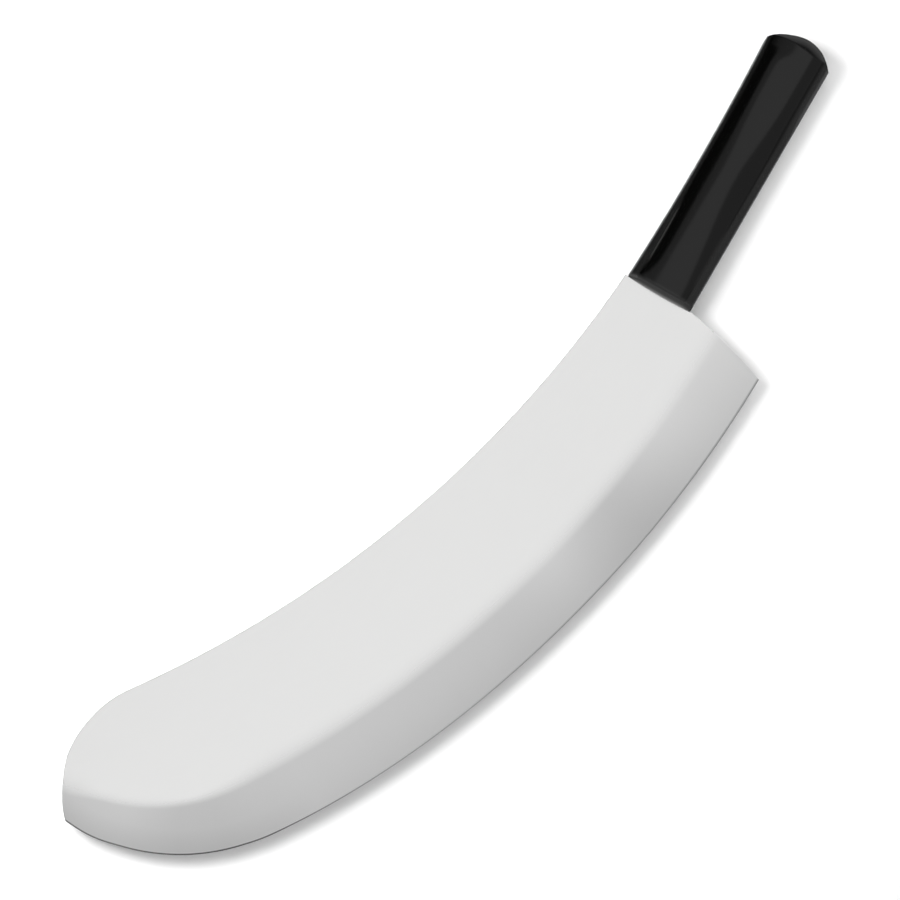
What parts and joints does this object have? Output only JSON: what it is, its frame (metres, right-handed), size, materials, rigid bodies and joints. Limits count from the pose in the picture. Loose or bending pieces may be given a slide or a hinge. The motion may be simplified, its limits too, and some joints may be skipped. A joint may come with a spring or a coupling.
{
  "type": "mincing knife",
  "caption": "Large rocking mincing knife: broad crescent steel blade with a wide ground bevel and a black handle moulded over its hidden tang.",
  "frame": {"origin": "middle of the knife's length and width, on the surface that the handle's lower face touches as the knife lies on its side", "axes": "+X along the handle's axis from the toe to the butt, +Y from the cutting edge to the spine, +Z square to the blade's sides"},
  "size_m": [0.503, 0.1976, 0.022],
  "materials": {
    "blade_steel": "fine satin grind, across the edge on the bevels",
    "handle_plastic": "smooth moulded, semi-gloss"
  },
  "bodies": {
    "root": {"blade": "blade_steel", "handle": "handle_plastic"}
  },
  "joints": []
}
